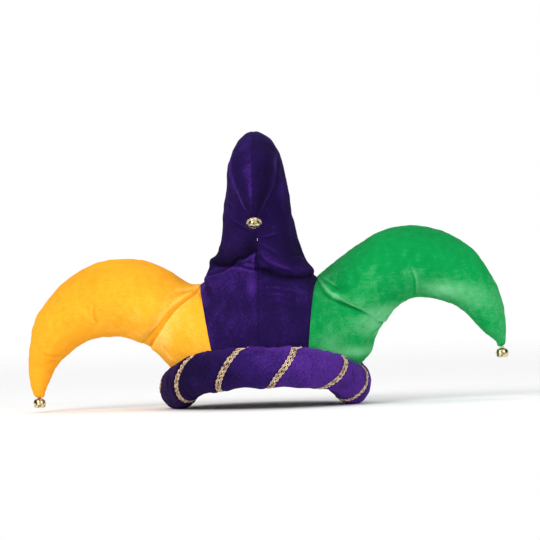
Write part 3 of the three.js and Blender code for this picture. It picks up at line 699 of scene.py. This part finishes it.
def side_horn(seam, rows, reach, height, mirror):
    """A side horn's rim on the dome, its lofted rings and its tip, drawn for the right-hand side and
    mirrored for the left. The rim runs down the front seam, along the roll and up the back seam."""
    step = np.linspace(0, 3, horn_columns, endpoint=False)
    angle = step * 2 * np.pi / 3
    foot = seam_angle(seam) + (np.pi - 2 * seam_angle(seam)) * np.clip(step - 1, 0, 1)
    rim = np.where(
        ((step > 1) & (step < 2))[:, None],
        foot_point(foot),
        seam_point(seam, np.where(step <= 1, (1 - step) / 2, 1 - (step - 2) / 2)),
    )
    place = lambda out, up: np.array([crown_half_width + out * reach, 0, place_base + up * height])
    knots = np.stack([rim] + [
        section(place(inner, inner_up), place(outer, outer_up), np.array([0, -plump * horn_plump, 0]), angle)
        for outer, outer_up, inner, inner_up, plump in rows
    ])
    last = rows[-1]
    tip = place((last[0] + last[2]) / 2, last[3] - 0.036)
    grid = rounded_tip(loft(knots, ring_spacing), tip)
    grid = np.where((dome_value(grid) < 1)[..., None], on_dome(grid), grid)
    grid[..., 0] = np.maximum(grid[..., 0], seam_x(seam, grid[..., 2]) + half_seam_gap)
    flip = np.array([-1 if mirror else 1, 1, 1])
    return rim * flip, grid * flip, tip * flip


def horn_details(grid, creases, seed):
    """What the stuffing and the sewing do to a side horn: lumps, its edge seams with their puckers, its
    creases, full in front and 0.7 as deep behind, and gathers at the tip. Gives the rise, and the pile's
    random patches with painted light: painted shade along the seams and the creases' painted highlights and
    shade."""
    around, whole, along = along_rings(grid)
    facing = outward(grid)
    from_seam = from_edges(around, whole)
    swell = 1.2 * unevenness(grid, 52, seed) + 0.3 * unevenness(grid, 17, seed + 1)
    nap_and_light = 0.09 * unevenness(grid, 44, seed + 2) + 0.08 * unevenness(grid, 11, seed + 3)
    in_front = 0.7 + 0.3 * rise(-facing[..., 1], -0.2, 0.3)
    add_creases(swell, nap_and_light, grid, creases, in_front, 0.3, 1)
    swell += seam_on(from_seam, grid, seed + 4)
    # Painted shade in the seams' grooves.
    nap_and_light -= 0.45 * hump(from_seam, 1.8)
    to_tip = along[-1:] - along
    gathers = np.sin(9 * 2 * np.pi * around / whole + seed) * hump(to_tip - 3, 9)
    swell += 0.7 * gathers * rise(whole, 10, 60)
    swell -= 1.2 * hump(along, 2.5)
    return facing * (swell * (rise(along, 0, 3) * 0.8 + 0.2))[..., None], nap_and_light


yellow_velvet = velvet("yellow_velvet_pile", "#e58e18", "#f6ac28", "#fdcb66", 0.75, (0.35, 1, 1))
yellow_rim, yellow_grid, yellow_tip = side_horn(yellow_seam, yellow_rows, 184.5, 135.0, True)
yellow_creases = (
    ([(-144, 80), (-126, 98), (-114, 114), (-98, 130.5), (-77, 145)], 2.8, 3.0, 4.5, 0.4, 0.9),
    ([(-76, 141), (-97, 126), (-113, 107), (-124, 91), (-136, 73)], 3.2, 1.8, 3.4, 0.9, 0.8),
    ([(-109, 137), (-92, 143), (-77, 146)], 1.6, 2.2, 3.0, 0.0, 0.8),
    ([(-120, 128), (-100, 138), (-82, 146)], 1.0, 2.6, 3.0, 0.0, 0.5),
    ([(-196, 98), (-202, 113), (-201, 131)], 1.7, 2.4, 3.4, 0.0, 0.0),
    ([(-207, 112), (-209, 122), (-206, 130)], 0.8, 2.0, 3.0, 0.0, 0.0),
    ([(-268, 72), (-255, 69), (-240, 68)], 0.9, 1.8, 2.4, 0.0, 0.5),
    ([(-262, 62), (-244, 61)], 0.7, 1.6, 2.4, 0.0, 0.5),
    ([(-110, 62), (-118, 72), (-120, 84)], 1.0, 2.0, 3.0, 0.8, 0.0),
)
yellow_lift, yellow_nap_and_light = horn_details(yellow_grid, yellow_creases, 31)
x, z = yellow_grid[..., 0], yellow_grid[..., 2]
yellow_lift[..., 2] += 2.0 * hump(x + 155, 60) * rise(-x, 90, 130)
yellow_lift[..., 2] -= 3 * hump(x + 86, 11) * rise(-x, 74, 82) * rise(z, 138, 150)
# Painted shade towards the horn's outer end and its top, and a painted highlight beside the second crease.
yellow_nap_and_light -= 0.35 * rise(-x, 170, 260) + 0.45 * rise(z, 110, 165)
yellow_nap_and_light += spots(yellow_grid, [(-116, 88, 9, 20, 0.7)])
yellow = horn_piece(
    "yellow_horn_and_side", yellow_rim, yellow_grid + yellow_lift, yellow_tip, yellow_velvet, yellow_nap_and_light,
    np.array([-85.0, 0, 95.0]),
)
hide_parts("horn_yellow")


# The right horn and the crown's right side, in green velvet, cut and sewn as the yellow one. It stands a
# little higher, and the cloth folds under where it leaves the crown.
green_rows = np.array([
    (-0.15, 0.70, 0.135, 0.055, 0.90),
    (-0.04, 0.79, 0.18, 0.21, 0.96),
    (0.08, 0.885, 0.235, 0.285, 0.98),
    (0.23, 0.965, 0.32, 0.385, 0.88),
    (0.39, 0.995, 0.42, 0.455, 0.79),
    (0.57, 0.98, 0.52, 0.465, 0.72),
    (0.755, 0.88, 0.64, 0.435, 0.63),
    (0.91, 0.69, 0.755, 0.35, 0.52),
    (1.0, 0.45, 0.865, 0.225, 0.38),
    (1.03, 0.245, 0.94, 0.15, 0.24),
    (1.032, 0.135, 0.958, 0.125, 0.14),
])
green_velvet = velvet("green_velvet_pile", "#00662e", "#029045", "#6cc186", 0.42, (0.12, 1, 1))
green_rim, green_grid, green_tip = side_horn(green_seam, green_rows, 183.5, 163.0, False)
green_creases = (
    ([(70, 148), (82, 133), (96, 124), (108, 117), (121, 110), (134, 102)], 4.0, 2.0, 4.6, 0.35, 0.1),
    ([(74, 151), (86, 143), (98, 136)], 1.3, 4.0, 5.0, 0.5, 0.0),
    ([(136, 98), (145, 93), (154, 88)], 1.8, 1.4, 2.2, 0.2, 0.6),
    ([(180, 162), (185, 145), (184, 124)], 1.2, 3.2, 4.0, 0.0, 0.2),
    ([(142, 86), (134, 84), (128, 78)], 0.9, 1.8, 2.4, 0.8, 0.0),
)
green_lift, green_nap_and_light = horn_details(green_grid, green_creases, 41)
x, z = green_grid[..., 0], green_grid[..., 2]
green_lift[..., 2] += 2.2 * hump(x - 165, 60) * rise(x, 90, 130)
# Painted shade towards the horn's top.
green_nap_and_light -= 0.32 * rise(z, 155, 210)
# Painted highlights, and painted shade in one dent near the main crease's start.
green_light_spots = (
    (90, 129, 6, 4, 0.5), (94, 138, 10, 5, -0.5), (149, 108, 18, 9, 0.7), (132, 94, 20, 13, 0.75),
    (219, 133, 26, 9, 0.8), (181, 154, 10, 9, 0.3), (112, 62, 26, 7, 0.9), (252, 122, 22, 16, 0.4),
    (284, 96, 18, 30, 0.25), (82, 74, 20, 12, 0.4),
)
green_nap_and_light += spots(green_grid, green_light_spots)
green = horn_piece(
    "green_horn_and_side", green_rim, green_grid + green_lift, green_tip, green_velvet, green_nap_and_light,
    np.array([85.0, 0, 95.0]),
)
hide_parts("horn_green")


# The trim: gold gimp braid, 7 mm wide, wound round the roll eleven times. Two gilt cords cross at every
# eyelet, two more run along its edges in scallops, and a flat ground of brown thread lies under them. Each
# turn thins out in a tail where it tucks into the seam.
eyelet_pitch, cord_radius, cord_sides = 5.0, 0.55, 7
braid_start, braid_end, braid_rings = 84, -238, 320
cord_swing, edge_cord, scallop = 1.6, 2.8, 0.5
ground_half_wide, ground_half_thick = 2.7, 0.3


def gimp_line(crossing):
    """The middle of one turn on the pressed skin, unit steps across the braid and away from the roll, and
    the swing of the pattern in radians, half a turn of it for each eyelet."""
    turn = np.linspace(np.radians(braid_start), np.radians(braid_end), braid_rings)
    tail = rise(np.degrees(turn), braid_start - 20, braid_start)
    angle = braid_angle(crossing, turn) + 0.085 * tail
    swell = roll_swell(angle, turn) - 1.25
    middle = roll_point(angle, turn, swell)
    round_head = roll_point(angle + 0.001, turn, swell) - middle
    round_roll = roll_point(angle, turn + 0.001, swell, floor=-9) - roll_point(angle, turn, swell, floor=-9)
    away = np.cross(round_head, round_roll)
    away /= np.linalg.norm(away, axis=-1, keepdims=True)
    across = np.cross(np.gradient(middle, axis=0), away)
    across /= np.linalg.norm(across, axis=-1, keepdims=True)
    thin = 1 - 0.7 * tail - 0.6 * rise(-np.degrees(turn), -braid_end - 10, -braid_end)
    return middle, across * thin[:, None], away, np.pi * (turn[0] - turn) * 22.5 / eyelet_pitch


def tube(path, wide, high, sides):
    """A cord along a path: oval rings square to the path, wide across the braid and high away from it. It
    flattens where the hat stands on it."""
    forward = np.gradient(path, axis=0)
    forward /= np.linalg.norm(forward, axis=-1, keepdims=True)
    across = np.cross(forward, path - path.mean(axis=0))
    across /= np.linalg.norm(across, axis=-1, keepdims=True)
    up = np.cross(across, forward)
    turn = whole_turn(sides)[None, :, None]
    rings = path[:, None, :] + wide * np.cos(turn) * across[:, None] + high * np.sin(turn) * up[:, None]
    rings[..., 2] = np.maximum(rings[..., 2], 0.03 + 0.01 * np.cos(turn[..., 0]))
    return rings


gilt, gilt_shader, add, link = new_material("gold_gimp_cord", {"Metallic": 0.25, "Roughness": 0.4})
place = add("ShaderNodeTexCoord").outputs["Object"]
winding = add("ShaderNodeTexWave", {"Vector": place, "Scale": 700, "Distortion": 3, "Detail": 1})
worn = colour_ramp(add, noise(add, place, 260, 3), (0.36, "#8a5f2c"), (0.57, "#ffe4c0"))
link(worn, gilt_shader.inputs["Base Color"])
link(bump(add, winding.outputs["Fac"], 0.6, 0.0003), gilt_shader.inputs["Normal"])
ground, *_ = new_material("brown_ground_thread", {"Base Color": linear("#3d2610"), "Roughness": 0.8})

for number, crossing in enumerate(braid_crossings, 1):
    middle, across, away, swing = gimp_line(crossing)
    tubes = []
    for aside, lift in (
        (cord_swing * np.sin(swing), 0.7 + 0.4 * np.cos(swing)),
        (-cord_swing * np.sin(swing), 0.7 - 0.4 * np.cos(swing)),
        (edge_cord - scallop * np.cos(2 * swing), 0.45 + 0.3 * np.sin(2 * swing)),
        (scallop * np.cos(2 * swing) - edge_cord, 0.45 - 0.3 * np.sin(2 * swing)),
    ):
        line = middle + across * aside[:, None] + away * (cord_radius + lift)[:, None]
        tubes.append(tube(line, cord_radius, cord_radius, cord_sides))
    tubes.append(tube(middle + 0.2 * away, ground_half_wide, ground_half_thick, cord_sides))
    here = np.arange(braid_rings * cord_sides).reshape(braid_rings, cord_sides)
    beside = np.roll(here, -1, 1)
    quads = np.stack([here[:-1], here[1:], beside[1:], beside[:-1]], -1).reshape(-1, 4)
    one = quads.tolist() + [here[0].tolist(), here[-1][::-1].tolist()]
    faces = [[corner + cord * here.size for corner in face] for cord in range(len(tubes)) for face in one]
    points = np.concatenate([grid.reshape(-1, 3) for grid in tubes])
    turn_piece = smooth_piece(f"gimp_turn_{number:02}", points, faces, gilt)
    turn_piece.data.materials.append(ground)
    of_ground = [int(face >= 4 * len(one)) for face in range(len(faces))]
    turn_piece.data.polygons.foreach_set("material_index", of_ground)
    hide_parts(f"braid_{number:02}")


# The jingle bells: two shells stamped from thin brass and crimped together in a flange, with crossed
# slots below, a wire loop on top and a loose steel-cored ball inside. Each is sewn to a horn's tip.
bell_radius, bell_half, bell_wall, flange_radius = 7.2, 5.8, 0.55, 9.2
slot_width, slot_end_radius, slot_top = 1.4, 1.25, -3.4
loop_radius, loop_wire, pellet_radius = 1.3, 0.5, 2.4
thread_half_wide, thread_half_tall, thread_radius = 3.0, 1.4, 0.28

brass, brass_shader, add, link = new_material("stamped_brass", {"Metallic": 1.0})
tarnish = noise(add, add("ShaderNodeTexCoord").outputs["Object"], 320, 4)
link(colour_ramp(add, tarnish, (0.36, "#7d6936"), (0.6, "#ece2bd")), brass_shader.inputs["Base Color"])
rubbed = add("ShaderNodeMapRange", {"Value": tarnish, "To Min": 0.1, "To Max": 0.24})
link(rubbed.outputs["Result"], brass_shader.inputs["Roughness"])
link(bump(add, tarnish, 0.05, 0.0004), brass_shader.inputs["Normal"])


def turned(profile, sides=72):
    """A profile of (radius, height) points turned about the upright axis, as a grid of rings."""
    turn = whole_turn(sides)[None, :]
    radius, height = profile[:, :1], profile[:, 1:]
    return np.stack([radius * np.cos(turn), radius * np.sin(turn), height + 0 * turn], -1)


def shell_profile(radius, half, flange):
    """From the bottom pole to the top: a drum below and a dome above, as cosines to the powers of 0.3 and
    0.85 of the angle from the middle, and the crimped flange standing out between them."""
    angle = np.linspace(-np.pi / 2, np.pi / 2, 81)[1:-1]
    out = radius * np.cos(angle) ** np.where(angle < 0, 0.3, 0.85)
    up = half * np.sign(angle) * np.abs(np.sin(angle)) ** 0.75
    return np.stack([np.maximum(out, flange * (np.abs(up) < 0.5)), up], -1)


def keyhole(width, end_radius, low, high):
    """A slot's outline seen from the side: straight walls from below, and a round hole at its top."""
    angle = np.linspace(-0.2 * np.pi, 1.2 * np.pi, 24)
    hole = np.stack([end_radius * np.cos(angle), high + end_radius * np.sin(angle)], -1)
    return np.concatenate([[[width / 2, low]], hole, [[-width / 2, low]]])


def standing(grid, middle, lean):
    """Points tipped about the sideways axis, so that what hangs below swings forward, and moved."""
    x, y, z = grid[..., 0], grid[..., 1], grid[..., 2]
    tipped = np.stack([x, y * np.cos(lean) + z * np.sin(lean), z * np.cos(lean) - y * np.sin(lean)], -1)
    return tipped + middle


def on_axis(low, high):
    """The two poles of a turned piece."""
    return np.array([[0, 0, low], [0, 0, high]])


# Everything about a bell's own middle: the shell's outside and inside, the two crossed bars that cut its
# slots, the wire loop, the loops of thread at three headings, and the ball.
outside = turned(shell_profile(bell_radius, bell_half, flange_radius))
inside = turned(shell_profile(bell_radius - bell_wall, bell_half - bell_wall, 0))
wide, high = keyhole(slot_width, slot_end_radius, -bell_half - 2, slot_top).T
bar = np.stack(np.broadcast_arrays(np.array([[-12.0], [12.0]]), wide, high), -1)
bars = (bar, bar[..., (1, 0, 2)] * [-1, 1, 1])
angle = whole_turn(40)[:, None]
circle = np.concatenate([np.cos(angle), 0 * angle, np.sin(angle)], 1)
wire_loop = ring_of_wire(loop_radius * circle, circle, np.array([0, 1, 0]), loop_wire, 12)
wire_loop[..., 2] += bell_half + loop_radius - loop_wire
thread_loops = []
for heading in np.radians((5, 35, 150)):
    way, square = np.array([[np.cos(heading), np.sin(heading), 0], [-np.sin(heading), np.cos(heading), 0]])
    line = thread_half_wide * np.cos(angle) * way + thread_half_tall * np.sin(angle) * [0, 0, 1]
    thread_loop = ring_of_wire(line, line / 2.1, square, thread_radius, 12)
    thread_loops.append(thread_loop + np.array([0, 0, bell_half + 0.9]))
level = np.linspace(-np.pi / 2, np.pi / 2, 26)[1:-1, None]
ball = turned(pellet_radius * np.concatenate([np.cos(level), np.sin(level)], 1), 36)
pellet_drop = bell_half - bell_wall - pellet_radius - 0.3

for name, tip, lean in (
    ("purple", purple_tip, np.radians(46)),
    ("yellow", yellow_tip, 0.0),
    ("green", green_tip, 0.0),
):
    downward = np.array([0, -np.sin(lean), -np.cos(lean)])
    middle = tip + (bell_half + 0.2) * downward
    hung = lambda grid: standing(grid, middle, lean)
    bell = skin(f"bell_shell_{name}", hung(outside), brass, poles=hung(on_axis(-bell_half, bell_half)))
    hollow_poles = hung(on_axis(bell_wall - bell_half, bell_half - bell_wall))
    cutters = [skin("hollow", hung(inside), brass, poles=hollow_poles)]
    for bar in bars:
        cutters.append(skin("slot", hung(bar), brass, poles=hung(bar.mean(axis=1))))
    for cutter in cutters:
        cut = bell.modifiers.new("cut", "BOOLEAN")
        cut.operation, cut.object, cut.solver = "DIFFERENCE", cutter, "EXACT"
    shaped = bpy.data.meshes.new_from_object(bell.evaluated_get(bpy.context.evaluated_depsgraph_get()))
    shaped.set_sharp_from_angle(angle=np.radians(35))
    bell.modifiers.clear()
    bell.data = shaped
    for cutter in cutters:
        bpy.data.objects.remove(cutter)
    loop = skin(f"bell_loop_{name}", hung(wire_loop), brass, rows_meet=True)
    threads = [
        skin(f"bell_thread_{name}_{number}", hung(thread_loop), thread, rows_meet=True)
        for number, thread_loop in enumerate(thread_loops, 1)
    ]
    pellet_middle = middle + pellet_drop * downward
    pellet = skin(
        f"bell_ball_{name}", ball + pellet_middle, brass,
        poles=pellet_middle + on_axis(-pellet_radius, pellet_radius),
    )
    for piece in (bell, loop):
        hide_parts(f"bell_{name}")
    for piece in threads:
        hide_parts(f"bell_{name}")
    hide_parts(f"pellet_{name}")


# The studio: a pale paper floor that fades out into an even white sky, soft lights on both sides and above,
# and a far camera in front, a little to the right of the hat's middle, low, and tipped by under two degrees.
floor_radius, floor_sides, floor_drop = 2.5, 96, 0.0002
card_far, card_front, card_back, card_foot, card_top = 1.3, -0.6, 1.2, 0.02, 1.5


def studio_piece(name, points, material):
    """One flat face of the studio, in metres, that is no part of the hat."""
    mesh = bpy.data.meshes.new(name)
    mesh.from_pydata(points, [], [tuple(range(len(points)))])
    mesh.materials.append(material)
    piece = bpy.data.objects.new(name, mesh)
    bpy.context.collection.objects.link(piece)
    return piece


paper_look = {"Base Color": linear("#f6f6f6"), "Roughness": 0.9}
paper, paper_shader, add, link = new_material("floor_paper", paper_look)
place = add("ShaderNodeTexCoord").outputs["Object"]
link(bump(add, noise(add, place, 400, 3), 0.05, 0.0005), paper_shader.inputs["Normal"])
far = add("ShaderNodeVectorMath", {0: place}, operation="LENGTH").outputs["Value"]
fade = add("ShaderNodeMapRange", {"Value": far, "From Min": 0.3, "From Max": 2.4, "To Min": 1, "To Max": 0})
fade.interpolation_type = "SMOOTHSTEP"
link(fade.outputs["Result"], paper_shader.inputs["Alpha"])
turn = whole_turn(floor_sides)
floor_rim = np.stack([floor_radius * np.cos(turn), floor_radius * np.sin(turn), 0 * turn - floor_drop], -1)
studio_piece("studio_floor", floor_rim.tolist(), paper)

felt, *_ = new_material("card_black_felt", {"Base Color": linear("#101010")})
for name, side in (("side_card_left", -1), ("side_card_right", 1)):
    corners = [(card_front, card_foot), (card_back, card_foot), (card_back, card_top), (card_front, card_top)]
    card = studio_piece(name, [(side * card_far, y, z) for y, z in corners], felt)
    card.visible_camera = card.visible_diffuse = card.visible_shadow = card.visible_transmission = False

world = bpy.data.worlds.new("studio")
world.use_nodes = True
sky = world.node_tree.nodes["Background"]
sky.inputs["Color"].default_value = (1, 1, 1, 1)
seen = world.node_tree.nodes.new("ShaderNodeLightPath")
strength = world.node_tree.nodes.new("ShaderNodeMapRange")
strength.inputs["To Min"].default_value, strength.inputs["To Max"].default_value = 0.72, 1.0
world.node_tree.links.new(seen.outputs["Is Camera Ray"], strength.inputs["Value"])
world.node_tree.links.new(strength.outputs["Result"], sky.inputs["Strength"])
bpy.context.scene.world = world
bpy.context.scene.view_settings.view_transform = "Standard"


def soft_light(name, place, aim, size, power):
    """A square softbox at a place, turned towards a point."""
    lamp = bpy.data.lights.new(name, "AREA")
    lamp.shape, lamp.size, lamp.energy = "SQUARE", size, power
    box = bpy.data.objects.new(name, lamp)
    box.location = place
    box.rotation_euler = (Vector(aim) - Vector(place)).to_track_quat("-Z", "Y").to_euler()
    bpy.context.collection.objects.link(box)


soft_light("key_left", (-1.4, -2.2, 1.7), (0, 0, 0.15), 1.4, 52)
soft_light("fill_right", (1.9, -2.0, 0.9), (0, 0, 0.15), 1.8, 24)
soft_light("top", (0, 0.3, 2.4), (0, 0, 0.1), 1.6, 8)

azimuth, elevation, roll = np.radians(3.4), np.radians(1.6), 0.0314
camera_far, view_wide, aim_right, aim_up = 20, 0.648, 0.0094, 0.1627
level_way = np.array([np.sin(azimuth), -np.cos(azimuth), 0]) * np.cos(elevation)
back_way = level_way + [0, 0, np.sin(elevation)]
aim = np.array([aim_right * np.cos(azimuth), aim_right * np.sin(azimuth), aim_up])
camera = bpy.data.objects.new("camera", bpy.data.cameras.new("camera"))
camera.data.sensor_width, camera.data.lens = 36, 36 * camera_far / view_wide
camera.data.clip_end = 400
camera.location = aim + back_way * camera_far
turned_to = Vector(-back_way).to_track_quat("-Z", "Y").to_matrix()
camera.rotation_euler = (turned_to @ Matrix.Rotation(-roll, 3, "Z")).to_euler()
bpy.context.collection.objects.link(camera)
bpy.context.scene.camera = camera
